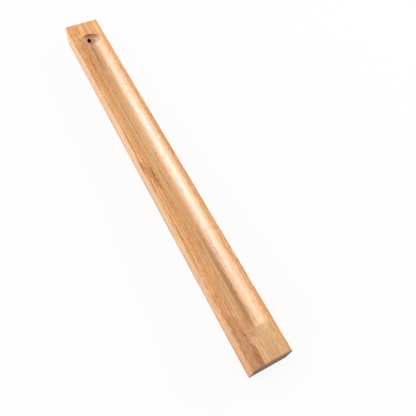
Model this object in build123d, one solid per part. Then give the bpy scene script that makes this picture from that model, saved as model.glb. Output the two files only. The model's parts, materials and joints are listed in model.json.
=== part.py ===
from build123d import *
import math
import os

# An incense stick holder: a bar of bamboo strips glued side by side, with a round-bottomed groove that catches
# the ash and a leaning hole at one end of the groove that takes the stick.
# Millimetres. +X runs along the bar away from the stick hole, +Y across it, +Z up from the table.

# Bar
bar_length = 230.0
bar_width = 20.0
bar_height = 13.0
edge_round = 0.4

# Bamboo strips, stood on edge and glued face to face, from -Y to +Y
strip_names = ("left_strip", "middle_strip", "right_strip")
glue_names = ("left_glue_line", "right_glue_line")
glue_thickness = 0.12

# Ash groove, routed with a ball-nosed cutter, and the flat land left round it
side_land = 2.4
end_land = 11.6
groove_depth = 4.5
rim_round = 0.3

# Stick hole, drilled into the groove's end wall and leaning over the groove
hole_diameter = 2.2
hole_tilt = 15.0
hole_rim_gap = 2.3
hole_floor = 2.6
drill_point_angle = 118.0

# How far the slabs that part the strips reach past the bar
slab_overrun = 1.0

# An edge's round takes at most this much of the land beside it
round_limit_share = 1 / 3

# Sizes that follow
groove_width = bar_width - 2 * side_land
groove_half = groove_width / 2
ball_radius = (groove_half**2 + groove_depth**2) / (2 * groove_depth)
ball_height = bar_height - groove_depth + ball_radius
ball_reach = bar_length / 2 - end_land - groove_half
edge_radius = min(edge_round, side_land * round_limit_share)
rim_radius = min(rim_round, side_land * round_limit_share)
strip_width = (bar_width - glue_thickness * len(glue_names)) / len(strip_names)
mouth_x = -bar_length / 2 + end_land + hole_rim_gap
mouth_z = ball_height - math.sqrt(ball_radius**2 - (mouth_x + ball_reach) ** 2)
hole_radius = hole_diameter / 2
lean = math.radians(hole_tilt)
point_length = hole_radius / math.tan(math.radians(drill_point_angle / 2))
hole_length = (mouth_z - hole_floor) / math.cos(lean) - point_length


def eased_bar():
    """The planed bar with its outer edges sanded round, standing on the table."""
    bar = Pos(0, 0, bar_height / 2) * Box(bar_length, bar_width, bar_height)
    return fillet(bar.edges(), edge_radius)


def groove_path():
    """The space swept by the ball-nosed cutter: a rod with a ball at each end, turned about its own axis."""
    tip = ball_reach + ball_radius
    outline = Polyline((-tip, 0), (tip, 0))
    outline += CenterArc((ball_reach, 0), ball_radius, 0, 90)
    outline += Line((ball_reach, ball_radius), (-ball_reach, ball_radius))
    outline += CenterArc((-ball_reach, 0), ball_radius, 90, 90)
    rod = revolve(make_face(outline), Axis.X, 360)
    return Pos(0, 0, ball_height) * rod


def stick_hole():
    """The drill's shank and its point, along the leaning axis and out through the groove's end wall."""
    mouth = Plane((mouth_x, 0, mouth_z), x_dir=(math.cos(lean), 0, -math.sin(lean)),
                  z_dir=(math.sin(lean), 0, math.cos(lean)))
    shank_length = hole_length + bar_height
    shank = Pos(0, 0, shank_length / 2 - hole_length) * Cylinder(hole_radius, shank_length)
    point = Pos(0, 0, -hole_length - point_length / 2) * Cone(0, hole_radius, point_length)
    return mouth * (shank + point)


def machined_bar():
    """The bar with its groove routed, the groove's rim eased and the stick hole drilled."""
    bar = eased_bar() - groove_path()
    top = bar.faces().sort_by(Axis.Z)[-1]
    bar = fillet(top.inner_wires()[0].edges(), rim_radius)
    return bar - stick_hole()


def slab(low, width):
    """A slab of the bar from low to low + width across it, reaching past the bar on its other sides."""
    block = Box(bar_length + 2 * slab_overrun, width, bar_height + 2 * slab_overrun)
    return Pos(0, low + width / 2, bar_height / 2) * block


def layers():
    """Each layer's name, its low side across the bar and its width: strips with a glue line between them."""
    pitch = strip_width + glue_thickness
    for place, name in enumerate(strip_names):
        yield name, -bar_width / 2 + place * pitch, strip_width
    for place, name in enumerate(glue_names):
        yield name, -bar_width / 2 + place * pitch + strip_width, glue_thickness


# Write one file for each layer
os.makedirs("parts", exist_ok=True)
bar = machined_bar()
for name, low, width in layers():
    piece = bar & slab(low, width)
    export_step(piece, f"parts/{name}.step")
    print(f"{name}: {width:.2f} mm wide, {piece.volume:.1f} mm3")
print(f"groove {groove_width:.2f} mm wide, ball radius {ball_radius:.3f} mm")
print(f"hole mouth at x {mouth_x:.3f}, z {mouth_z:.3f}, wall {hole_length:.3f} mm long")
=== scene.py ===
# %% [markdown]
# # A bamboo incense stick holder
# The real object is one short bar. Three strips of bamboo are stood on edge and glued side by side. The
# bar is planed, a round-nosed cutter runs a groove along its top to catch the ash, a thin drill makes the
# hole for the stick, and a clear lacquer closes the pores.
# This lesson dresses the measured model of that bar. It remakes each strip as a fine smooth surface,
# gives the bamboo its fibres and marks, and sets up the light and the camera of the photograph.
# The measured model comes first. Its pieces are never moved: new pieces stand for them, in the same
# place.

# %% Load the measured model
import json
import math
import bmesh
import bpy
import numpy as np
from mathutils import Matrix, Vector


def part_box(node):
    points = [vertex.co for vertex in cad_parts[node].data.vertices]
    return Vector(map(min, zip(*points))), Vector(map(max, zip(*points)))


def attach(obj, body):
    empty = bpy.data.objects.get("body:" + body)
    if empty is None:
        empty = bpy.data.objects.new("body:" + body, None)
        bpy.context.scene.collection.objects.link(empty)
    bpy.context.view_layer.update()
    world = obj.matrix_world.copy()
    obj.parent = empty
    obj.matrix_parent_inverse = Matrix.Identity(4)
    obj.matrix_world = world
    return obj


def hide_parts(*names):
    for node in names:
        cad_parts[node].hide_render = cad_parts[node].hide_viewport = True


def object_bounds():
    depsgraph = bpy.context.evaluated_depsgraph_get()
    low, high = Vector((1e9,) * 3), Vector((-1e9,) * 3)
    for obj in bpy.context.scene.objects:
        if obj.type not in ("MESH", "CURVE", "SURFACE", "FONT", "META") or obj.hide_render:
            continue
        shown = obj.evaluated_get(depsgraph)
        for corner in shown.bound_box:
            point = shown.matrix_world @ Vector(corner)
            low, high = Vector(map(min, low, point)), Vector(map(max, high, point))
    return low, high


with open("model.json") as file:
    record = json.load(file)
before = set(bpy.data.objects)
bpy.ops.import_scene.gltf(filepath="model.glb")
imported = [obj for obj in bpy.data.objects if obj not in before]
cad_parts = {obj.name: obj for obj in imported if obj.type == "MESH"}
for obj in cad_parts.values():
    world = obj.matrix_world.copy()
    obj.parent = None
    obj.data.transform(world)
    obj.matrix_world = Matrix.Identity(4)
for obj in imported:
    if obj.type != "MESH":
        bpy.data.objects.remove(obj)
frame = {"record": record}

cad_box = [list(corner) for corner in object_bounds()]
length, width, height = np.subtract(cad_box[1], cad_box[0])
print("bar:", [round(1000 * side, 2) for side in (length, width, height)], "mm")

# %% [markdown]
# ## The camera
# The photograph looks down on the bar from just past its near end and a little to its left, close enough
# for the far end to look clearly smaller. The camera was fitted to the bar's corners and edges: azimuth
# and elevation say where it stands round the bar, roll how far it is turned about its own line of sight,
# and the focal length is that of a normal lens.
# Building the camera's three axes with numpy and writing them as the columns of its matrix keeps the fit
# exact.

# %% Place the camera
mm = 0.001
azimuth = math.radians(54.802)
elevation = math.radians(60.522)
roll = math.radians(8.308)
look_at = np.array([30.658, 14.257, 0]) * mm
distance = 246.13 * mm
focal_length = 40.04
sensor_width = 36
nearest_seen = 10 * mm

outward = np.array([math.sin(azimuth), -math.cos(azimuth), 0])
back = outward * math.cos(elevation) + np.array([0, 0, math.sin(elevation)])
level = np.array([math.cos(azimuth), math.sin(azimuth), 0])
rise = np.cross(level, -back)
right = math.cos(roll) * level + math.sin(roll) * rise
up = -math.sin(roll) * level + math.cos(roll) * rise
eye = look_at + back * distance

camera = bpy.data.objects.new("camera", bpy.data.cameras.new("camera"))
camera.data.sensor_width = sensor_width
camera.data.lens = focal_length
camera.data.clip_start = nearest_seen
camera.matrix_world = Matrix([[right[i], up[i], back[i], eye[i]] for i in range(3)] + [[0, 0, 0, 1]])
scene = bpy.context.scene
scene.collection.objects.link(camera)
bpy.context.scene.camera = camera
print("camera stands at", np.round(1000 * eye, 1), "mm")

# %% [markdown]
# ## Adding nodes
# Blender's materials and its world are graphs of nodes. One helper adds a node, sets its properties and
# fills its inputs: where the value given is another node's output it draws a link, and otherwise it
# stores the number or colour.
# Colours are written as they look on a screen, in hex, so a second helper turns them into the linear
# light that the shaders work in. A third starts a material with no nodes in it.

# %% Node and colour helpers
def add(tree, kind, inputs=None, **settings):
    """Adds one node of a kind to a tree, with its settings, and links or sets the inputs given by name or
    number."""
    node = tree.nodes.new("ShaderNode" + kind)
    for name, value in settings.items():
        setattr(node, name, value)
    for place, source in (inputs or {}).items():
        if isinstance(source, bpy.types.NodeSocket):
            tree.links.new(source, node.inputs[place])
        else:
            node.inputs[place].default_value = source
    return node


def linear(code):
    """An sRGB hex colour as linear RGBA: near black a straight line, above it a power of 2.4."""
    screen = np.array([int(code[i:i + 2], 16) for i in (1, 3, 5)]) / 255
    light = np.where(screen <= 0.04045, screen / 12.92, ((screen + 0.055) / 1.055) ** 2.4)
    return (*light.tolist(), 1.0)


def new_tree(name):
    """A new material with an empty node tree."""
    material = bpy.data.materials.new(name)
    material.use_nodes = True
    material.node_tree.nodes.clear()
    return material, material.node_tree


print("mid grey is", round(linear("#808080")[0], 3), "in linear light")

# %% [markdown]
# ## The white room
# The photograph has a pure white background. In a studio that is a white sweep lit apart from the object.
# Here the world is white where the camera, a gloss or a glass looks at it, and a softer fill where it
# lights the bamboo, so the background costs no extra light on the object. The floor does the same, and
# keeps part of its own shading so that the bar's shadow stays on it.

# %% World
fill_strength = 0.68
white_strength = 1.0
room_white_share = 1.0

scene.view_settings.view_transform = "Standard"
scene.world = bpy.data.worlds.new("white_room")
scene.world.use_nodes = True


def whitened(tree, lit, shown, share):
    """Shows one shader to the camera, to gloss and to glass by a share, and the other to everything
    else."""
    path = add(tree, "LightPath")
    seen = path.outputs["Is Camera Ray"]
    for ray in ("Is Glossy Ray", "Is Transmission Ray"):
        seen = add(tree, "Math", {0: seen, 1: path.outputs[ray]}, operation="MAXIMUM").outputs[0]
    part = add(tree, "Math", {0: seen, 1: share}, operation="MULTIPLY").outputs[0]
    return add(tree, "MixShader", {0: part, 1: lit.outputs[0], 2: shown.outputs[0]}).outputs[0]


room = scene.world.node_tree
room.nodes.clear()
fill = add(room, "Background", {"Color": linear("#FFFFFF"), "Strength": fill_strength})
white = add(room, "Background", {"Color": linear("#FFFFFF"), "Strength": white_strength})
add(room, "OutputWorld", {"Surface": whitened(room, fill, white, room_white_share)})
print("world: fill", fill_strength, "and white", white_strength)

# %% [markdown]
# ## The floor
# The bar lies on matt white paper. One flat square is enough for it, so wide that the photograph's view
# doesn't reach its edge. Paper scatters light evenly, so its shader is plain diffuse, with most of it shown
# as white.

# %% Floor
floor_size = 4.0
floor_white_share = 0.88

floor_mesh = bpy.data.meshes.new("floor")
corners = np.array([[-1, -1, 0], [1, -1, 0], [1, 1, 0], [-1, 1, 0]]) * floor_size / 2
floor_mesh.from_pydata(corners.tolist(), [], [[0, 1, 2, 3]])
floor = bpy.data.objects.new("floor", floor_mesh)
scene.collection.objects.link(floor)

paper, paper_tree = new_tree("white_paper_sweep")
matt = add(paper_tree, "BsdfDiffuse", {"Color": linear("#F2F2F2")})
glow = add(paper_tree, "Emission", {"Color": linear("#FFFFFF"), "Strength": white_strength})
add(paper_tree, "OutputMaterial", {"Surface": whitened(paper_tree, matt, glow, floor_white_share)})
floor_mesh.materials.append(paper)
print("floor:", floor_size, "m wide")

# %% [markdown]
# ## The lamps
# The photograph shows soft light from both sides: the flat top, both groove walls and the left side are
# nearly as bright as each other. Two low softboxes face each other across the bar for that, and a third
# stands higher at the far left.
# A broad pale sheen runs along the groove's right wall. A wall that leans like that mirrors what stands
# at the left, so a wide card goes there. A smaller one in front of it draws the sheen's bright core, and
# a third, higher up, brightens the sheen where the wall flattens towards the groove's floor. Only gloss
# sees the cards: they draw the sheen and leave the level of the light alone.
# All of them stand on one sphere round the bar, so two angles place each: one round the bar from +X, one
# above the floor.

# %% Softboxes and cards
# Angles in degrees, sizes in metres, powers in watts, and whether matt surfaces see the light.
studio_radius = 0.8
softboxes = {
    "far_left_softbox": {"round": 225, "above": 50, "size": (0.55, 0.55), "power": 1.4, "lights": True},
    "low_left_softbox": {"round": 270, "above": 12, "size": (0.55, 0.55), "power": 2.5, "lights": True},
    "low_right_softbox": {"round": 90, "above": 15, "size": (0.55, 0.55), "power": 4.1, "lights": True},
    "wide_sheen_card": {"round": 253, "above": 27, "size": (1.23, 0.80), "power": 28.0, "lights": False},
    "core_sheen_card": {"round": 230, "above": 36, "size": (0.36, 0.34), "power": 2.8, "lights": False},
    "high_sheen_card": {"round": 236, "above": 58, "size": (0.36, 0.20), "power": 1.2, "lights": False},
}
for name, box in softboxes.items():
    lamp = bpy.data.lights.new(name, "AREA")
    lamp.shape = "RECTANGLE"
    lamp.size, lamp.size_y = box["size"]
    lamp.energy = box["power"]
    stand = bpy.data.objects.new(name, lamp)
    turn, tilt = math.radians(box["round"]), math.radians(box["above"])
    aim = Vector((math.cos(tilt) * math.cos(turn), math.cos(tilt) * math.sin(turn), math.sin(tilt)))
    stand.location = aim * studio_radius
    stand.rotation_euler = (-aim).to_track_quat("-Z", "Y").to_euler()
    stand.visible_diffuse = box["lights"]
    scene.collection.objects.link(stand)
    print(name, "at", [round(part, 2) for part in stand.location], "m")

# %% [markdown]
# ## The form of the bar
# Every face of the bar can be read from above: at each place on its plan there is one height for the top
# and one for the underside. So the form is written as two height functions, and each strip becomes the
# solid between them.
# The groove is the path of a ball run along a straight spine, so its depth depends only on how far a
# place is from that spine. The rim is eased with sandpaper: a small circle that touches the ball's wall
# and the flat land.

# %% Height of the top and of the underside
edge_round = 0.4 * mm
side_land = 2.4 * mm
end_land = 11.6 * mm
groove_depth = 4.5 * mm
rim_round = 0.3 * mm

groove_half = width / 2 - side_land
ball_radius = (groove_half**2 + groove_depth**2) / (2 * groove_depth)
ball_height = height - groove_depth + ball_radius
spine_half = length / 2 - end_land - groove_half
rim_outer = math.sqrt((ball_radius + rim_round) ** 2 - (ball_height - height + rim_round) ** 2)
rim_inner = rim_outer * ball_radius / (ball_radius + rim_round)


def edge_fall(x, y):
    """How far a rounded outer edge falls away: none inside the edge's round, and a quarter circle over
    it."""
    over_x = np.maximum(np.abs(x) - (length / 2 - edge_round), 0)
    over_y = np.maximum(np.abs(y) - (width / 2 - edge_round), 0)
    return edge_round - np.sqrt(np.maximum(edge_round**2 - over_x**2 - over_y**2, 0))


def top_height(x, y):
    """Height of the top. By distance from the spine: the ball's lower half, then the rim's circle, then
    the flat land, less the fall of the outer edges."""
    away = np.hypot(np.maximum(np.abs(x) - spine_half, 0), y)
    ball = ball_height - np.sqrt(np.maximum(ball_radius**2 - away**2, 0))
    rim = height - rim_round + np.sqrt(np.maximum(rim_round**2 - (rim_outer - away) ** 2, 0))
    groove = np.where(away < rim_inner, ball, np.where(away < rim_outer, rim, height))
    return groove - edge_fall(x, y)


print("groove:", round(2000 * groove_half, 2), "mm wide, ball radius", round(1000 * ball_radius, 2), "mm")

# %% [markdown]
# ## Steps over the curves
# A grid of points looks smooth only where its lines run along the form's own edges, and where each curve
# gets the points it needs. So the points are spaced by equal angles on the ball, on the rim and on the
# outer edge.

# %% Steps on the ball, the rim and the edge
wall_steps = 28
rim_steps = 7
edge_steps = 9

wall_shares = np.linspace(0, 1, wall_steps)
wall_end = math.asin(rim_inner / ball_radius)
rim_start = math.asin((rim_outer - rim_inner) / rim_round)
rim_places = rim_outer - rim_round * np.sin(np.linspace(rim_start, 0, rim_steps))
quarter = np.sin(np.linspace(0, math.pi / 2, edge_steps))


def spread(first, last, count):
    """Even steps from one edge of a surface to the other, for every row at once, without the first edge
    itself."""
    first, last = np.broadcast_arrays(first, last)
    return first + (last - first) * np.linspace(0, 1, count)[1:]


def ball_and_rim(start):
    """Distances from the spine along one row: up the ball by equal angles from where the row starts, then
    over the rim. Where a row starts past the groove, all its steps close up on the start."""
    first = np.arcsin(np.minimum(start, rim_inner) / ball_radius)
    wall = ball_radius * np.sin(first + (wall_end - first) * wall_shares)
    rim = np.broadcast_to(rim_places[1:], (len(start), rim_steps - 1))
    return np.maximum(np.hstack([wall, rim]), start)


def both_ways(half):
    """A row measured from the middle of the bar outwards, laid out to both ends."""
    return np.concatenate([-half[..., :0:-1], half], axis=-1)


print("wall:", wall_steps, "steps, rim:", rim_steps, "steps, outer edge:", edge_steps, "steps")

# %% [markdown]
# ## The plan of an outer strip
# An outer strip reaches the bar's long side edge, so its points are laid out in rows across the bar:
# every row then ends on that edge's round. The rows stand at stations along the bar, which crowd together
# where the groove and the bar end.

# %% Rows across an outer strip
spine_stations = 60
end_wall_stations = 40
end_land_stations = 14
side_land_steps = 12


def outer_plan(inner):
    """Places on an outer strip. Rows cross the bar at stations that crowd together where the groove and
    the bar end. Along a row: the groove's wall, its rim, the land, and the outer edge's round, which
    shrinks at the bar's corner."""
    leave = spine_half + np.sqrt(rim_places**2 - inner**2)
    stations = both_ways(np.concatenate([
        np.linspace(0, spine_half, spine_stations),
        spread(spine_half, leave[0], end_wall_stations),
        leave[1:],
        spread(leave[-1], length / 2 - edge_round, end_land_stations),
        length / 2 - edge_round + edge_round * quarter[1:],
    ]))[:, None]
    past = np.maximum(np.abs(stations) - spine_half, 0)
    away = ball_and_rim(np.hypot(past, inner))
    wall = np.sqrt(np.maximum(away**2 - past**2, inner**2))
    land = spread(wall[:, -1:], width / 2 - edge_round, side_land_steps)
    over = np.maximum(np.abs(stations) - (length / 2 - edge_round), 0)
    edge = width / 2 - edge_round + np.sqrt(np.maximum(edge_round**2 - over**2, 0)) * quarter[1:]
    y = np.hstack([wall, land, edge])
    return np.broadcast_to(stations, y.shape), y


print("stations along the spine:", 2 * spine_stations - 1)

# %% [markdown]
# ## The plan of an inner layer
# The middle strip and the glue lines never reach the bar's sides, so they are laid out in rows along the
# bar, from one sawn end to the other. A film of glue then needs no more than two rows.

# %% Rows along an inner layer
floor_steps = 90
end_land_steps = 16


def inner_plan(low, high, lines):
    """Places on a layer that the bar's sides don't reach. Rows run along the bar: the groove's floor, up
    its end wall, over the rim, the end land, and the round of the end's edge, and the same the other
    way."""
    y = np.linspace(low, high, lines)[:, None]
    away = ball_and_rim(np.abs(y))
    wall = spine_half + np.sqrt(np.maximum(away**2 - y**2, 0))
    floor_run = np.linspace(0, spine_half, floor_steps)[:-1]
    floor_run = np.broadcast_to(floor_run, (lines, floor_steps - 1))
    land = spread(wall[:, -1:], length / 2 - edge_round, end_land_steps)
    edge = length / 2 - edge_round + edge_round * quarter[1:]
    edge = np.broadcast_to(edge, (lines, edge_steps - 1))
    x = both_ways(np.hstack([floor_run, wall, land, edge]))
    return x, np.broadcast_to(y, x.shape)


print("steps along half of the groove's floor:", floor_steps)

# %% [markdown]
# ## From plan to patches
# Over one plan, a layer is three surfaces: the top, the underside, and the wall that joins their borders.
# They are made as separate grids, and each keeps the number of the finish that it will wear: lacquered,
# sawn or bored.

# %% Surfaces
border_shares = np.array([0, 0.05, 0.35, 0.65, 0.95, 1])[:, None, None]
lacquered, sawn, bored = range(3)


def surface(points, finish=lacquered):
    """A grid of points, rows by columns by 3, as a patch: its points in one list, the four corners of
    each cell, and the number of the finish that its cells wear."""
    rows, columns = points.shape[:2]
    first = np.arange(rows - 1)[:, None] * columns + np.arange(columns - 1)
    cells = np.stack([first, first + 1, first + columns + 1, first + columns], -1)
    return points.reshape(-1, 3), cells.reshape(-1, 4), finish


def border(grid):
    """The outer points of a grid, walked once round from the first corner and back to it."""
    return np.concatenate([grid[0], grid[1:, -1], grid[-1, -2::-1], grid[-2::-1, 0]])


def layer_patches(x, y):
    """The top, the underside and the joining wall of a layer over its plan. The wall is a straight mix of
    the two borders, with rows close to both so that it shades flat."""
    top = np.stack([x, y, top_height(x, y)], -1)
    under = np.stack([x, y, edge_fall(x, y)], -1)
    wall = border(top) + (border(under) - border(top)) * border_shares
    return [surface(top), surface(under), surface(wall)]


print("joining walls have", len(border_shares), "rows")

# %% [markdown]
# ## The sawn ends
# The bar was sawn to length after gluing, so the saw cut strips and glue in one go. The joining walls run
# round the bar's corners, so the sawn faces are no patch of their own. They are found by their place and
# their normal: at the bar's ends, and looking along it.

# %% Faces that the saw left
sawn_lean = math.radians(40)
sawn_slope = math.cos(sawn_lean)


def saw_ends(mesh):
    """Gives the sawn finish to faces that look along the bar at its two ends, whatever patch they come
    from."""
    finishes = np.empty(len(mesh.polygons), "i")
    centres = np.empty(len(mesh.polygons) * 3, "f")
    normals = np.empty(len(mesh.polygons) * 3, "f")
    mesh.polygons.foreach_get("material_index", finishes)
    mesh.polygons.foreach_get("center", centres)
    mesh.polygons.foreach_get("normal", normals)
    at_end = np.abs(centres[::3]) > length / 2 - edge_round
    finishes[at_end & (np.abs(normals[::3]) > sawn_slope)] = sawn
    mesh.polygons.foreach_set("material_index", finishes)


print("faces within", round(math.degrees(sawn_lean)), "degrees of the bar's length are sawn")

# %% [markdown]
# ## From patches to a closed solid
# The patches are welded where their points meet, which also swallows the steps that closed up on one
# point. After the weld Blender turns all faces outwards, and only real corners, such as the glued faces,
# stay sharp.

# %% Welding
weld_distance = 0.0002 * mm
sharp_angle = math.radians(40)


def weld(name, patches, node):
    """Joins patches into one closed mesh at the origin, faces outwards, and puts it in the place of a
    measured node."""
    starts = np.cumsum([0] + [len(points) for points, cells, finish in patches])
    points = np.concatenate([points for points, cells, finish in patches])
    cells = np.concatenate([patch[1] + start for patch, start in zip(patches, starts)])
    finishes = np.concatenate([np.full(len(cells), finish) for points, cells, finish in patches])
    mesh = bpy.data.meshes.new(name)
    mesh.from_pydata(points.tolist(), [], cells.tolist())
    mesh.polygons.foreach_set("material_index", finishes)
    work = bmesh.new()
    work.from_mesh(mesh)
    bmesh.ops.remove_doubles(work, verts=work.verts, dist=weld_distance)
    bmesh.ops.dissolve_degenerate(work, edges=work.edges, dist=weld_distance)
    bmesh.ops.recalc_face_normals(work, faces=work.faces)
    open_edges = sum(not edge.is_manifold for edge in work.edges)
    volume = work.calc_volume()
    work.to_mesh(mesh)
    work.free()
    saw_ends(mesh)
    mesh.shade_smooth()
    mesh.set_sharp_from_angle(angle=sharp_angle)
    piece = bpy.data.objects.new(name, mesh)
    scene.collection.objects.link(piece)
    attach(piece, "root")
    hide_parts(node)
    triangles = sum(len(face.vertices) - 2 for face in mesh.polygons)
    print(f"{name}: {triangles} triangles, {open_edges} open edges, {volume / mm**3:.0f} mm3")
    return piece


print("points closer than", weld_distance / mm, "mm are welded")

# %% [markdown]
# ## The two outer strips
# On the real bar each outer strip is a bamboo slat stood on edge, planed flat on the outside, with half
# of the groove's wall cut into its inner top edge. The left strip is the right one mirrored, so one plan
# makes both, and the weld turns the mirrored faces the right way round again.

# %% Outer strips
glued_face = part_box("right_strip")[0].y
strip_x, strip_y = outer_plan(glued_face)
right_strip = weld("right_bamboo_strip", layer_patches(strip_x, strip_y), "right_strip")
left_strip = weld("left_bamboo_strip", layer_patches(strip_x, -strip_y), "left_strip")

# %% [markdown]
# ## The stick hole
# The hole leans over the groove, so the stick drops its ash into it. Its place, axis and sizes come from
# the measured model. The drill's surface is a profile turned round the leaning axis, so a point on it
# needs a turn, a radius and a distance along the axis.

# %% The drill's surface
hole = next(mount for mount in frame["record"]["mounts"] if mount["name"] == "stick_hole")
hole_axis = np.array(hole["axis"])
hole_side = np.array([0, 1, 0])
hole_across = np.cross(hole_side, hole_axis)
hole_radius = hole["dims"]["r_mm"] * mm
hole_length = hole["dims"]["length_mm"] * mm
hole_mouth = np.array(hole["pos_m"]) + hole_axis * hole_length / 2


def drilled(turn, radius, along):
    """Points on the drill's surface: out from the axis by a radius at each turn, and along the axis from
    the mouth."""
    radius, along = np.broadcast_arrays(radius, along, turn)[:2]
    out = np.cos(turn)[..., None] * hole_across + np.sin(turn)[..., None] * hole_side
    return hole_mouth + out * radius[..., None] + hole_axis * along[..., None]


def mouth_height(turn, radius):
    """Where the drill's surface meets the ball, along the axis: the lower root of a line through a
    sphere."""
    centre = np.array([-spine_half, 0, ball_height])
    start = drilled(turn, radius, 0.0) - centre
    slope = start @ hole_axis
    return -slope - np.sqrt(slope**2 - (start**2).sum(-1) + ball_radius**2)


print("stick hole:", round(2 * hole_radius / mm, 2), "mm across,", round(hole_length / mm, 2), "mm deep")

# %% [markdown]
# ## Opening the hole in a curved wall
# A hole could be cut with a Boolean, but that leaves ragged faces in a curved wall. Instead a block of
# cells will be left out of the strip's top, and a ring of cells is stretched from the block's border to
# the hole's mouth. The drilled wall and the drill's pointed floor follow.

# %% Patches of the hole
mouth_ease = 0.12 * mm
drill_point_angle = math.radians(118)
point_length = hole_radius / math.tan(drill_point_angle / 2)
ring_steps = 14
ring_crowding = 0.7
bore_steps = 12
cone_steps = 5


def stick_hole_patches(rim_of_block):
    """The ring from the block's border to the eased mouth, the drilled wall, and the cone left by the
    drill's point. Each is a straight mix of two outlines."""
    turn = np.arctan2(rim_of_block[:, 1] - hole_mouth[1], rim_of_block[:, 0] - hole_mouth[0])
    mouth_along = mouth_height(turn, hole_radius + mouth_ease)
    mouth = drilled(turn, hole_radius + mouth_ease, mouth_along)
    lip = drilled(turn, hole_radius, mouth_along - mouth_ease)
    shoulder = drilled(turn, hole_radius, -hole_length)
    tip = drilled(turn, 0.0, -hole_length - point_length)
    ring_share = np.linspace(0, 1, ring_steps)[:, None, None] ** ring_crowding
    ring = rim_of_block + (mouth - rim_of_block) * ring_share
    ring[..., 2] = top_height(ring[..., 0], ring[..., 1])
    bore = lip + (shoulder - lip) * np.linspace(0, 1, bore_steps)[:, None, None]
    cone = shoulder + (tip - shoulder) * np.linspace(0, 1, cone_steps)[:, None, None]
    inside = [surface(points, bored) for points in (np.stack([mouth, lip]), bore, cone)]
    return [surface(ring), *inside]


print("the drill's point adds", round(point_length / mm, 2), "mm")

# %% [markdown]
# ## The middle strip
# The middle strip holds the groove's floor and the hole. Its top is a whole grid first. The cells round
# the hole's mouth are then left out of it, and the hole's own surfaces fill the gap.

# %% Middle strip
middle_rows = 57
block_reach = 1.9 * mm

low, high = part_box("middle_strip")
middle_x, middle_y = inner_plan(low.y, high.y, middle_rows)
rows = np.flatnonzero(np.abs(middle_y[:, 0]) <= block_reach)
spine_row = middle_x[middle_rows // 2]
columns = np.flatnonzero(np.abs(spine_row - hole_mouth[0]) <= block_reach)
top, under, wall = layer_patches(middle_x, middle_y)
top_grid = top[0].reshape(*middle_x.shape, 3)
block = top_grid[rows[0]:rows[-1] + 1, columns[0]:columns[-1] + 1]
cell_row, cell_column = np.divmod(np.arange(len(top[1])), middle_x.shape[1] - 1)
in_rows = (cell_row >= rows[0]) & (cell_row < rows[-1])
in_columns = (cell_column >= columns[0]) & (cell_column < columns[-1])
kept = (top[0], top[1][~(in_rows & in_columns)], lacquered)
middle_patches = [kept, under, wall, *stick_hole_patches(border(block))]
middle_strip = weld("middle_bamboo_strip", middle_patches, "middle_strip")

# %% [markdown]
# ## The glue lines
# Between the strips the glue is a film about a tenth of a millimetre thick, sanded flush with the bamboo.
# It is a layer like the middle strip, only far thinner, so the same plan serves with two rows.

# %% Glue lines
glue_rows = 2
glue_lines = []
for side in ("left", "right"):
    low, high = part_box(side + "_glue_line")
    plan = inner_plan(low.y, high.y, glue_rows)
    glue_lines.append(weld(side + "_glue_film", layer_patches(*plan), side + "_glue_line"))

# %% [markdown]
# ## Bamboo: the fibres
# Bamboo is not wood but a grass: a pale soft ground with darker bundles of fibre that all run straight
# along the stem. Cut along the stem they show as fine streaks and short dashes, cut across it as dots.
# So the pattern is a solid one, in millimetres on Object coordinates and far longer along X than across:
# any face that cuts it shows streaks or dots by itself.

# %% Fibre layers
# Length along the stem and width across it, in millimetres, and each layer's share in the darkness.
# Real bundles are about 0.3 mm wide. That is finer than a pixel of the picture, so all are drawn wider.
streaks = {
    "growth": {"along": 170, "across": 2.8, "detail": 1.0, "weight": 0.42},
    "bundle_rows": {"along": 45, "across": 0.8, "detail": 2.0, "weight": 0.68},
    "fibres": {"along": 8, "across": 0.6, "detail": 1.0, "weight": 0.52},
    "grain": {"along": 2.5, "across": 0.7, "detail": 1.0, "weight": 0.58},
}
bundles = {"along": 22, "across": 0.8, "core": 0.34, "weight": 0.16}
wander = {"along": 140, "across": 14, "detail": 1.0, "reach": 0.4}
noise_mean = 0.5


def stretch(layer):
    """The scale that gives a pattern of unit size a layer's length along the stem and width across it."""
    return (1 / layer["along"], 1 / layer["across"], 1 / layer["across"])


def fibre_place(tree, place, seed):
    """Places in the stem: millimetres, pushed sideways by slow noise so that the fibres wander a
    little."""
    spot = {"Vector": place, "Location": (seed, seed, 0), "Scale": stretch(wander)}
    spot = add(tree, "Mapping", spot).outputs[0]
    noise = {"Vector": spot, "Scale": 1.0, "Detail": wander["detail"]}
    push = add(tree, "TexNoise", noise).outputs["Color"]
    push = add(tree, "VectorMath", {0: push, 1: (noise_mean,) * 3}, operation="SUBTRACT").outputs[0]
    reach = (0, wander["reach"], wander["reach"])
    return add(tree, "VectorMath", {0: push, 1: reach, 2: place}, operation="MULTIPLY_ADD").outputs[0]


print("fibre layers:", [*streaks, "bundles"])

# %% [markdown]
# ## Bamboo: from fibres to darkness
# One number, the darkness, carries the whole pattern: it is summed from the layers about a mean of one
# half. Colour, gloss and bump can then all follow it, so that a dark fibre is also the dull and raised
# one.

# %% Darkness of the bamboo
mean_darkness = 0.5


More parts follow.
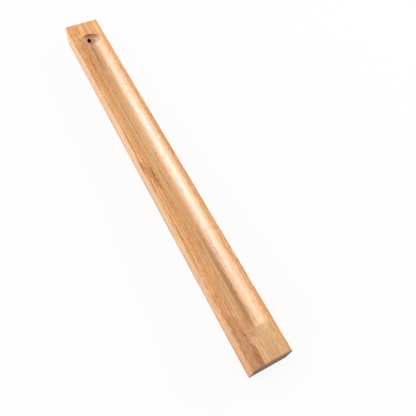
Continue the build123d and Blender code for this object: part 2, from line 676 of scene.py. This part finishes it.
def fibre_darkness(tree, fibre, seed):
    """The mean, plus each streak layer as noise stretched along the stem, plus the bundles: cells
    stretched the same way, dark near their cores."""
    darkness = mean_darkness
    for layer in streaks.values():
        spot = {"Vector": fibre, "Location": (seed, 2 * seed, seed), "Scale": stretch(layer)}
        spot = add(tree, "Mapping", spot).outputs[0]
        noise = {"Vector": spot, "Scale": 1.0, "Detail": layer["detail"]}
        noise = add(tree, "TexNoise", noise).outputs["Fac"]
        part = add(tree, "Math", {0: noise, 1: noise_mean}, operation="SUBTRACT").outputs[0]
        scaled = {0: part, 1: 2 * layer["weight"], 2: darkness}
        darkness = add(tree, "Math", scaled, operation="MULTIPLY_ADD").outputs[0]
    spot = {"Vector": fibre, "Location": (seed, 0, seed), "Scale": stretch(bundles)}
    spot = add(tree, "Mapping", spot).outputs[0]
    core = add(tree, "TexVoronoi", {"Vector": spot, "Scale": 1.0}).outputs["Distance"]
    near = {"Value": core, "From Min": bundles["core"], "From Max": 0, "To Max": bundles["weight"]}
    dots = add(tree, "MapRange", near, interpolation_type="SMOOTHSTEP").outputs[0]
    return add(tree, "Math", {0: darkness, 1: dots}, operation="ADD").outputs[0]


print("darkness spreads about", mean_darkness)

# %% [markdown]
# ## Bamboo: the marks
# No two strips are alike, and a few marks make this bar what it is: a knuckle, where the stem's joint was
# planed through, brown bands near the stem's skin, a warmer tone at the far end.
# Each mark is a stain shaped like a long egg. It is placed by its middle, its half sizes and its turn, so
# it can be read off the picture in millimetres, and the fibres fray its border so that it doesn't look
# painted on. A stain of one colour hides the fibres under it. One with four tones, pale to dark, lets
# them show.

# %% Colours of the marks, and marks that cross the strips
skin_brown = "#8A4F22"
scar_brown = "#783C08"
streak_brown = "#A8713C"
pale_pith = "#F4CB94"
# Four tones, pale to dark, for marks that let the fibres show.
# Tones of painted sheen, paler and greyer than the bamboo, for the groove's right wall. The far ones are
# calmer.
sheen_tones = ("#D2B8A2", "#CBB09A", "#C2A58C", "#B29478")
far_sheen_tones = ("#DEB084", "#D7A87A", "#CF9E70", "#C29162")
land_tones = ("#DAAA76", "#D0A06C", "#C4935F", "#B08050")
wall_tones = ("#DAAC7C", "#D4A676", "#CD9E6E", "#C29262")
# Tones of painted light for the left side.
side_light_tones = ("#F2D6B8", "#EAC9A8", "#D9B08A", "#B88A60")
# Tones of painted shade for the side's foot.
foot_shade_tones = ("#B8A088", "#AA927A", "#9A8068", "#806448")
usual_fray = 0.9


def stain(at, half, colour, cover, fray=usual_fray, turn=0):
    """One mark: its middle and half sizes in millimetres, its colour or tones, how much it covers, how
    far the fibres fray its border, and its turn about Z in degrees."""
    turned = (0, 0, math.radians(turn))
    return {"at": at, "half": half, "colour": colour, "cover": cover, "fray": fray, "turn": turned}


warm_far_end = stain((-118, 0, 13), (48, 16, 3), "#EA9E52", 0.42)
dull_near_end = stain((118, -6, 13), (30, 14, 12), "#B98558", 0.35)
near_rim = stain((101.5, 0, 11.6), (8, 12, 5), wall_tones, 0.85, fray=0)
# Painted shade: a dark band along the top of the near end, as on an edge rounded away from the light.
near_edge_shade = stain((115.2, 0, 13), (1.6, 30, 1.6), "#7E6A5C", 0.95, fray=0)
near_land = stain((111, 3, 13), (12, 10, 3), land_tones, 0.8, fray=0.3)
print("one mark:", warm_far_end)

# %% [markdown]
# ## Bamboo: marks of the left strip
# The left strip looks cut nearest to the stem's skin. It has the knuckle half way along with small dark
# scars, a brown band of skin fibres at the near end, and darker fibres along its upper edge. Its planed
# side is made paler by painted light, and darker towards its foot by painted shade.

# %% Left strip's marks
left_marks = {
    "warm_far_end": warm_far_end,
    "dull_near_end": dull_near_end,
    "near_rim": near_rim,
    # Painted light: the side paler than the top, palest at its far end.
    "painted_light_side": stain((0, -10.6, 6.5), (170, 1.0, 16), side_light_tones, 0.6, fray=0.2),
    "painted_light_far_side": stain((-105, -10.6, 6.5), (80, 1.0, 16), "#ECD9C4", 0.35, fray=0.2),
    "red_near_end": stain((116, -7.2, 13), (56, 4, 8), "#A9663E", 0.50),
    "pale_middle": stain((-35, -8, 13), (38, 4, 5), pale_pith, 0.25),
    # Painted shade: the side darker towards its foot, most at the near end.
    "side_foot_shade": stain((0, -10.3, 0.5), (190, 1.2, 5), foot_shade_tones, 0.65, fray=0.2),
    "near_foot_shade": stain((112, -10.3, 1.5), (36, 1.4, 6), "#A07C60", 0.55, fray=0.3),
    "pale_wall": stain((-30, -4.1, 9.5), (40, 1.2, 1.6), pale_pith, 0.25),
    "skin_band_near": stain((109, -4.7, 13), (15, 1.1, 3), skin_brown, 0.7),
    "rim_streak": stain((8, -7.6, 12.8), (56, 0.9, 1.2), streak_brown, 0.40),
    "knuckle": stain((5, -6.4, 11.2), (14, 1.8, 4), "#A55E2C", 0.58, turn=3),
    "knuckle_core": stain((8.5, -5.8, 10.8), (6, 0.9, 3), "#9A5228", 0.45),
    "knuckle_head": stain((4, -8.1, 13), (8, 1.4, 3), "#B06030", 0.68, fray=0.6, turn=6),
    "knuckle_scar": stain((3.5, -5.0, 10.1), (4, 0.5, 1.5), scar_brown, 0.62, turn=-6),
    "knuckle_eye": stain((9.5, -4.8, 9.9), (1.4, 0.6, 2), scar_brown, 0.7),
    "knuckle_tail": stain((13.2, -5.1, 10.1), (2.4, 0.6, 2), scar_brown, 0.4),
    "arris_scar": stain((1, -9.6, 13), (8, 0.45, 1), "#642C00", 0.9, fray=0.2),
    "arris_knuckle": stain((14, -9.4, 13), (10, 0.7, 1), streak_brown, 0.55, fray=0.3),
    "wall_dull": stain((60, -6.2, 11), (46, 0.8, 2), "#B58A5A", 0.4),
    "skin_band_wall": stain((96, -4.5, 10.5), (10, 0.9, 2.5), skin_brown, 0.4),
    "arris_far": stain((-75, -9.2, 13), (36, 0.8, 1), streak_brown, 0.55, fray=0.3),
    "arris_left": stain((-42, -9.0, 13), (18, 0.9, 1), streak_brown, 0.45, fray=0.3),
    "arris_middle": stain((-17, -9.0, 13), (16, 0.9, 1), streak_brown, 0.7, fray=0.3),
    "arris_near": stain((46, -9.4, 13), (32, 0.7, 1), skin_brown, 0.45, fray=0.3),
    "arris_end": stain((90, -8.9, 13), (26, 1.0, 1), streak_brown, 0.55, fray=0.3),
    "near_streak": stain((93, -8.7, 13), (7, 0.4, 1), streak_brown, 0.6),
    "near_end_streak": stain((111, -6, 13), (5, 0.4, 2), skin_brown, 0.4),
    "red_fleck": stain((-83, -7.7, 13), (4, 0.5, 1), "#9C5428", 0.6),
    "wall_streak": stain((-14, -5.2, 10.4), (8, 0.6, 2), streak_brown, 0.2),
    "far_streak_edge": stain((-109, -8.7, 13), (7, 0.6, 2), streak_brown, 0.45),
    "far_streak_outer": stain((-108, -7.4, 13), (5, 0.5, 2), streak_brown, 0.45),
    "far_streak_middle": stain((-109, -5.8, 13), (8, 0.6, 2), streak_brown, 0.35),
    "far_streak_inner": stain((-109, -3.7, 13), (8, 0.7, 2), streak_brown, 0.55),
    "near_wall": stain((80, -4.3, 9.6), (19, 1.0, 2), "#B08250", 0.5, fray=0.2),
    "near_wall_end": stain((96, -6.2, 11.6), (9, 1.0, 2), "#A8744A", 0.5, fray=0.1),
    "near_edge_shade": near_edge_shade,
}
print("left strip:", len(left_marks), "marks")

# %% [markdown]
# ## Bamboo: marks of the middle and right strips
# The middle strip is paler in the middle of the groove, has a band of painted shade on the groove's floor
# beside the sheen at each end, a strip of painted sheen at the sheen's foot towards the near end, and a
# burnt fleck at the hole's mouth, as a hot drill leaves it. The right strip is the plainest: a soft, pale
# painted sheen on its groove wall, calmer at the far end, and a few streaks on its land.

# %% Middle and right strips' marks
middle_marks = {
    "warm_far_end": warm_far_end,
    "dull_near_end": dull_near_end,
    "pale_middle": stain((-15, 0, 8.5), (62, 6, 4), pale_pith, 0.35),
    "pale_edge": stain((-40, -2.9, 9.1), (45, 0.5, 2), pale_pith, 0.4),
    "pale_edge_near": stain((84, -2.9, 9.1), (16, 0.5, 2), pale_pith, 0.5),
    "pale_near": stain((68, -0.8, 8.6), (28, 0.9, 2), pale_pith, 0.4),
    "dark_streak": stain((-29, -1.8, 8.7), (42, 0.6, 2), streak_brown, 0.6),
    "dark_streak_near": stain((51, -1.9, 8.7), (12, 0.5, 2), streak_brown, 0.5),
    "soft_streak": stain((8, -0.9, 8.6), (16, 0.7, 2), streak_brown, 0.4),
    "thin_streak": stain((-6, 1.3, 8.6), (10, 0.35, 2), streak_brown, 0.5),
    # Painted shade: a dark band along the groove's floor beside the sheen, one near each end.
    "groove_shade_near": stain((76, 0.9, 8.4), (43, 1.65, 3), "#8C5E30", 0.52, fray=0.05),
    "groove_shade_far": stain((-92, 0.3, 8), (20, 1.5, 1.6), "#8A5A24", 0.45, fray=0.1),
    # Painted sheen: a pale band at the foot of the sheen, towards the near end.
    "sheen_foot": stain((66, 3.5, 9.1), (42, 1.2, 2), "#E2BE9C", 0.6, fray=0.05),
    "far_wall_streak": stain((-84, -2.8, 9), (16, 0.7, 2), streak_brown, 0.4),
    "hole_shade": stain((-100.4, 2.4, 10.4), (2.8, 1.9, 2), "#8A6448", 0.5, fray=0.3),
    "fleck": stain((-99.3, 0.9, 9.3), (1.7, 1.2, 1.6), "#8A4400", 0.9, fray=0.2),
    "far_pale_streak": stain((-110, -1.5, 13), (8, 1.4, 3), pale_pith, 0.3),
    "far_streak": stain((-110, 0.6, 13), (8, 0.7, 3), streak_brown, 0.4),
    "near_land": near_land,
    "near_rim": near_rim,
    "near_edge_shade": near_edge_shade,
}
right_marks = {
    "warm_far_end": warm_far_end,
    "pale_near_end": stain((113, 4.5, 13), (15, 5, 3), pale_pith, 0.30),
    # Painted sheen along the groove's right wall, with calmer tones at the far end.
    "painted_sheen_wall": stain((0, 4.8, 10.2), (102, 2.9, 3.2), sheen_tones, 0.65, fray=0.1),
    "far_sheen": stain((-82, 5, 10.6), (25, 2.7, 3.2), far_sheen_tones, 0.75, fray=0.1),
    "land_streak": stain((-17, 7.9, 13), (22, 1.0, 1), streak_brown, 0.22),
    "far_streak": stain((-110, 3.7, 13), (8, 0.5, 3), streak_brown, 0.4),
    "far_pale_land": stain((-108, 7.6, 13), (12, 1.4, 3), "#FBC88C", 0.6),
    "near_land": near_land,
    "near_rim": near_rim,
    "near_edge_shade": near_edge_shade,
}
marks = {"left": left_marks, "middle": middle_marks, "right": right_marks}
print("marks:", {side: len(strip_marks) for side, strip_marks in marks.items()})

# %% [markdown]
# ## Bamboo: laying the marks on
# A ramp turns darkness into tones. A mark's cover falls smoothly from its core to its border, so the
# marks can simply be mixed over the colour one after the other, the later ones on top.

# %% Tones and marks as nodes
tone_places = (0.15, 0.50, 0.80, 1.0)
mark_core_share = 0.25
# The mix node keeps its colours at these numbers, after those for plain values and vectors.
colour_under, colour_over, mixed_colour = 6, 7, 2


def toned(tree, value, tones, places=tone_places):
    """A ramp from a value to colours, one colour at each place."""
    ramp = add(tree, "ValToRGB", {"Fac": value})
    stops = ramp.color_ramp.elements
    for number, (at, code) in enumerate(zip(places, tones)):
        stop = stops[number] if number < len(stops) else stops.new(at)
        stop.position = at
        stop.color = linear(code)
    return ramp.outputs["Color"]


def mark_colour(tree, darkness, colour):
    """A mark's own colour: a single one for a stain that hides the fibres, or tones that follow their
    darkness."""
    if isinstance(colour, str):
        return linear(colour)
    return toned(tree, darkness, colour)


def marked(tree, colour, place, darkness, strip_marks):
    """Lays each mark over the colour: distance from the mark's middle in half sizes, frayed by the
    fibres, smoothly from no cover at 1 to full cover at the core."""
    uneven = add(tree, "Math", {0: darkness, 1: mean_darkness}, operation="SUBTRACT").outputs[0]
    for mark in strip_marks.values():
        egg = {"Vector": place, "Location": mark["at"], "Rotation": mark["turn"], "Scale": mark["half"]}
        spot = add(tree, "Mapping", egg, vector_type="TEXTURE").outputs[0]
        away = add(tree, "VectorMath", {0: spot}, operation="LENGTH").outputs["Value"]
        frayed = {0: uneven, 1: -mark["fray"], 2: away}
        away = add(tree, "Math", frayed, operation="MULTIPLY_ADD").outputs[0]
        reach = {"Value": away, "From Min": 1, "From Max": mark_core_share, "To Max": mark["cover"]}
        cover = add(tree, "MapRange", reach, interpolation_type="SMOOTHSTEP").outputs[0]
        own_colour = mark_colour(tree, darkness, mark["colour"])
        over = {0: cover, colour_under: colour, colour_over: own_colour}
        colour = add(tree, "Mix", over, data_type="RGBA").outputs[mixed_colour]
    return colour


print("tones stand at darkness", tone_places)

# %% [markdown]
# ## Bamboo: the groove's end walls
# At the groove's two ends the cutter turned into the end grain. Fibres cut across drink the lacquer, so
# those walls look greyer and duller than the floor. They are found from the surface itself: the more its
# normal looks along the bar, the more end grain it shows.

# %% End walls of the groove
end_grain_slopes = (0.08, 0.45)
end_grain_cover = 0.6
end_grain_tones = ("#E0BC9C", "#D0A886", "#B88E6C", "#8C6648")


def end_grain_share(tree):
    """How much end grain the surface shows: none where it lies level, all where its normal leans far
    along the bar."""
    lean = add(tree, "TexCoord").outputs["Normal"]
    lean = add(tree, "SeparateXYZ", {0: lean}).outputs[0]
    lean = add(tree, "Math", {0: lean}, operation="ABSOLUTE").outputs[0]
    least, most = end_grain_slopes
    slope = {"Value": lean, "From Min": least, "From Max": most}
    return add(tree, "MapRange", slope, interpolation_type="SMOOTHSTEP").outputs[0]


def greyed(tree, colour, darkness, share):
    """Mixes the colour with the end grain's own ramp, by the share of end grain."""
    cover = add(tree, "Math", {0: share, 1: end_grain_cover}, operation="MULTIPLY").outputs[0]
    grey = {0: cover, colour_under: colour, colour_over: toned(tree, darkness, end_grain_tones)}
    return add(tree, "Mix", grey, data_type="RGBA").outputs[mixed_colour]


print("end grain starts to show at a slope of", end_grain_slopes[0])

# %% [markdown]
# ## Bamboo: the scorched rim
# At the far end a thin brown line runs along the rim, as a cutter scorches it where it pauses before it is
# lifted out. The cutter is round, so the line is part of a ring round its last place. An egg like those of
# the marks fades the ring away where the photograph shows none.

# %% Scorched rim
scorch = {"inner": 5.9, "darkest": 7.8, "outer": 8.5, "cover": 0.97, "colour": "#7C4000"}
scorch_egg = {"Location": (-103.2, 1.9, 12.6), "Scale": (8, 6.4, 8)}


def scorched(tree, colour, place):
    """Burns a ring about the ball's last place: the distance in plan from it rises to the darkest radius
    and falls again, faded by an egg as the marks are."""
    plan = {"Vector": place, "Location": (spine_half / mm, 0, 0), "Scale": (1, 1, 0)}
    plan = add(tree, "Mapping", plan).outputs[0]
    away = add(tree, "VectorMath", {0: plan}, operation="LENGTH").outputs["Value"]
    spot = add(tree, "Mapping", {"Vector": place, **scorch_egg}, vector_type="TEXTURE").outputs[0]
    far = add(tree, "VectorMath", {0: spot}, operation="LENGTH").outputs["Value"]
    fade = {"Value": far, "From Min": 1, "From Max": mark_core_share, "To Max": scorch["cover"]}
    cover = add(tree, "MapRange", fade, interpolation_type="SMOOTHSTEP").outputs[0]
    for edge in ("inner", "outer"):
        rise = {"Value": away, "From Min": scorch[edge], "From Max": scorch["darkest"]}
        rise = add(tree, "MapRange", rise, interpolation_type="SMOOTHSTEP").outputs[0]
        cover = add(tree, "Math", {0: cover, 1: rise}, operation="MULTIPLY").outputs[0]
    burnt = {0: cover, colour_under: colour, colour_over: linear(scorch["colour"])}
    return add(tree, "Mix", burnt, data_type="RGBA").outputs[mixed_colour]


print("scorched ring:", scorch["inner"], "to", scorch["outer"], "mm from the cutter's last place")

# %% [markdown]
# ## Bamboo: where the gloss lies
# Lacquer on planed bamboo is smooth enough for a broad soft sheen and too rough for a mirror: a roughness
# near 0.4 at the index of most clear finishes, 1.5. The photograph shows that sheen in the groove alone.
# The flat faces are dull, as if they were rubbed down after lacquering, so they get twice that roughness.
# The groove is found in plan, by the distance from the cutter's spine, and the change falls on the rim.

# %% Share of the groove
groove_roughness = (0.36, 0.44)
rubbed_roughness = 0.85
end_grain_roughness = 0.8
clear_finish_ior = 1.5


def metric_place(tree):
    """Object coordinates in millimetres."""
    place = add(tree, "TexCoord").outputs["Object"]
    return add(tree, "VectorMath", {0: place, "Scale": 1 / mm}, operation="SCALE").outputs[0]


def groove_share(tree, place):
    """One inside the groove and none past its rim, by the distance in plan from the cutter's spine. The
    bar's lower half counts as outside."""
    parts = add(tree, "SeparateXYZ", {0: place})
    along = add(tree, "Math", {0: parts.outputs[0]}, operation="ABSOLUTE").outputs[0]
    past = add(tree, "Math", {0: along, 1: spine_half / mm}, operation="SUBTRACT").outputs[0]
    past = add(tree, "Math", {0: past, 1: 0}, operation="MAXIMUM").outputs[0]
    plan = add(tree, "CombineXYZ", {0: past, 1: parts.outputs[1]}).outputs[0]
    away = add(tree, "VectorMath", {0: plan}, operation="LENGTH").outputs["Value"]
    rim = {"Value": away, "From Min": rim_outer / mm, "From Max": rim_inner / mm}
    share = add(tree, "MapRange", rim).outputs[0]
    upper = {0: parts.outputs[2], 1: height / mm / 2}
    upper = add(tree, "Math", upper, operation="GREATER_THAN").outputs[0]
    return add(tree, "Math", {0: share, 1: upper}, operation="MULTIPLY").outputs[0]


print("roughness:", groove_roughness, "in the groove,", rubbed_roughness, "on the flat faces")

# %% [markdown]
# ## Bamboo: the finish
# The strips are pale straw brown under the lacquer. One ramp per strip turns darkness into colour. The
# same darkness makes the lacquer a little duller over the fibres, end grain makes it duller still, and a
# very low bump lets the fibres be felt.

# %% Lacquered bamboo
strip_tones = {
    "left": ("#E6AC72", "#D69A60", "#BE834C", "#9C6232"),
    "middle": ("#E8B078", "#D89E63", "#C28A52", "#9C6232"),
    "right": ("#E8AE76", "#D79C63", "#C18750", "#9C6232"),
}
bump_strength = 0.2
lacquered_relief = 0.01 * mm


def bamboo_darkness(tree, place, seed):
    """The darkness of the bamboo at a place. The seed picks the piece of stem."""
    return fibre_darkness(tree, fibre_place(tree, place, seed), seed)


def lacquered_bamboo(side, seed):
    """Lacquered bamboo: the strip's ramp of darkness, the groove's end walls, the strip's marks and the
    scorched rim, satin in the groove and dull outside it."""
    material, tree = new_tree(side + "_strip_lacquered_bamboo")
    place = metric_place(tree)
    darkness = bamboo_darkness(tree, place, seed)
    cut_across = end_grain_share(tree)
    colour = toned(tree, darkness, strip_tones[side])
    colour = greyed(tree, colour, darkness, cut_across)
    colour = marked(tree, colour, place, darkness, marks[side])
    colour = scorched(tree, colour, place)
    least, most = groove_roughness
    gloss = add(tree, "MapRange", {"Value": darkness, "To Min": least, "To Max": most}).outputs[0]
    rubbed = {"Value": groove_share(tree, place), "To Min": rubbed_roughness, "To Max": gloss}
    rough = add(tree, "MapRange", rubbed).outputs[0]
    thirsty = {"Value": cut_across, "To Min": rough, "To Max": end_grain_roughness}
    rough = add(tree, "MapRange", thirsty).outputs[0]
    relief = {"Height": darkness, "Strength": bump_strength, "Distance": lacquered_relief}
    bump = add(tree, "Bump", relief).outputs[0]
    look = {"Base Color": colour, "Roughness": rough, "Normal": bump, "IOR": clear_finish_ior}
    shader = add(tree, "BsdfPrincipled", look)
    add(tree, "OutputMaterial", {"Surface": shader.outputs[0]})
    return material


print("strip tones:", {side: tones[1] for side, tones in strip_tones.items()})

# %% [markdown]
# ## Sawn ends and the drilled hole
# The bar's two ends are sawn across the fibres and hardly hold any lacquer: dull, greyer and darker than
# the top, with the bundles as dots, and darker still by painted shade, as on an end turned from the light.
# The drill runs hot in bamboo and leaves the hole's wall scorched, almost black.
# Both are bare fibre, so they are rough and reflect little.

# %% Sawn and drilled bamboo
# The sawn end grain's tones, darkened further by painted shade.
sawn_shade_tones = ("#947860", "#886C56", "#785E4A", "#60483A")
char_tones = ("#8A2410", "#6E1A0A", "#4E1006", "#2E0803")
sawn_relief = 0.03 * mm
sawn_roughness = 0.8
sawn_gloss_level = 0.12
char_roughness = 0.85
char_gloss_level = 0.1


def sawn_end_grain_shaded(seed):
    """End grain straight from the saw: the same solid pattern, on a greyer ramp darkened by painted shade,
    dull and slightly ragged."""
    material, tree = new_tree("sawn_bamboo_end_grain_shaded")
    darkness = bamboo_darkness(tree, metric_place(tree), seed)
    colour = toned(tree, darkness, sawn_shade_tones)
    relief = {"Height": darkness, "Strength": bump_strength, "Distance": sawn_relief}
    bump = add(tree, "Bump", relief).outputs[0]
    bare = {"Base Color": colour, "Roughness": sawn_roughness, "Normal": bump, "IOR": clear_finish_ior}
    shader = add(tree, "BsdfPrincipled", {**bare, "Specular IOR Level": sawn_gloss_level})
    add(tree, "OutputMaterial", {"Surface": shader.outputs[0]})
    return material


def scorched_drill_wall(seed):
    """The inside of the hole: char with a red brown tinge, in streaks along the fibres."""
    material, tree = new_tree("scorched_drill_wall")
    darkness = bamboo_darkness(tree, metric_place(tree), seed)
    colour = toned(tree, darkness, char_tones)
    char = {"Base Color": colour, "Roughness": char_roughness, "IOR": clear_finish_ior}
    shader = add(tree, "BsdfPrincipled", {**char, "Specular IOR Level": char_gloss_level})
    add(tree, "OutputMaterial", {"Surface": shader.outputs[0]})
    return material


print("sawn ends:", sawn_shade_tones[1], "and drilled wall:", char_tones[1])

# %% [markdown]
# ## Dressing the strips
# Every strip gets the same three finishes in the order of their numbers: lacquered, sawn, bored. Each
# strip has a seed of its own, so that no two look cut from the same place in the stem.

# %% Finishes on the strips
strips = {"left": left_strip, "middle": middle_strip, "right": right_strip}
seeds = {"left": 3.1, "middle": 7.7, "right": 12.4, "shaded_end_grain": 5.3, "drill_wall": 9.2}

shaded_end_grain = sawn_end_grain_shaded(seeds["shaded_end_grain"])
drill_wall = scorched_drill_wall(seeds["drill_wall"])
for side, piece in strips.items():
    for finish in (lacquered_bamboo(side, seeds[side]), shaded_end_grain, drill_wall):
        piece.data.materials.append(finish)
    print(piece.name, "wears", [finish.name for finish in piece.data.materials])

# %% [markdown]
# ## Cured wood glue
# The glue is a yellowish resin that cures to a dull amber brown. Sanded flush it shows only as a
# hairline, a little darker than the strips beside it, and it takes the lacquer as they do. At the bar's
# ends the saw has cut it with them, so there it wears the end grain's finish.

# %% Glue material
glue_tones = ("#D09860", "#BC854F")
glue_tone_places = (0.3, 0.7)
glue_cloud = {"along": 6, "across": 1, "detail": 2.0}
glue_groove_roughness = 0.45

glue, tree = new_tree("cured_wood_glue")
place = metric_place(tree)
spot = add(tree, "Mapping", {"Vector": place, "Scale": stretch(glue_cloud)}).outputs[0]
noise = {"Vector": spot, "Scale": 1.0, "Detail": glue_cloud["detail"]}
cloud = add(tree, "TexNoise", noise).outputs["Fac"]
colour = toned(tree, cloud, glue_tones, glue_tone_places)
rubbed = {"Value": groove_share(tree, place), "To Min": rubbed_roughness, "To Max": glue_groove_roughness}
rough = add(tree, "MapRange", rubbed).outputs[0]
look = {"Base Color": colour, "Roughness": rough, "IOR": clear_finish_ior}
shader = add(tree, "BsdfPrincipled", look)
add(tree, "OutputMaterial", {"Surface": shader.outputs[0]})
for film in glue_lines:
    film.data.materials.append(glue)
    film.data.materials.append(shaded_end_grain)
print("glue films:", [film.name for film in glue_lines])
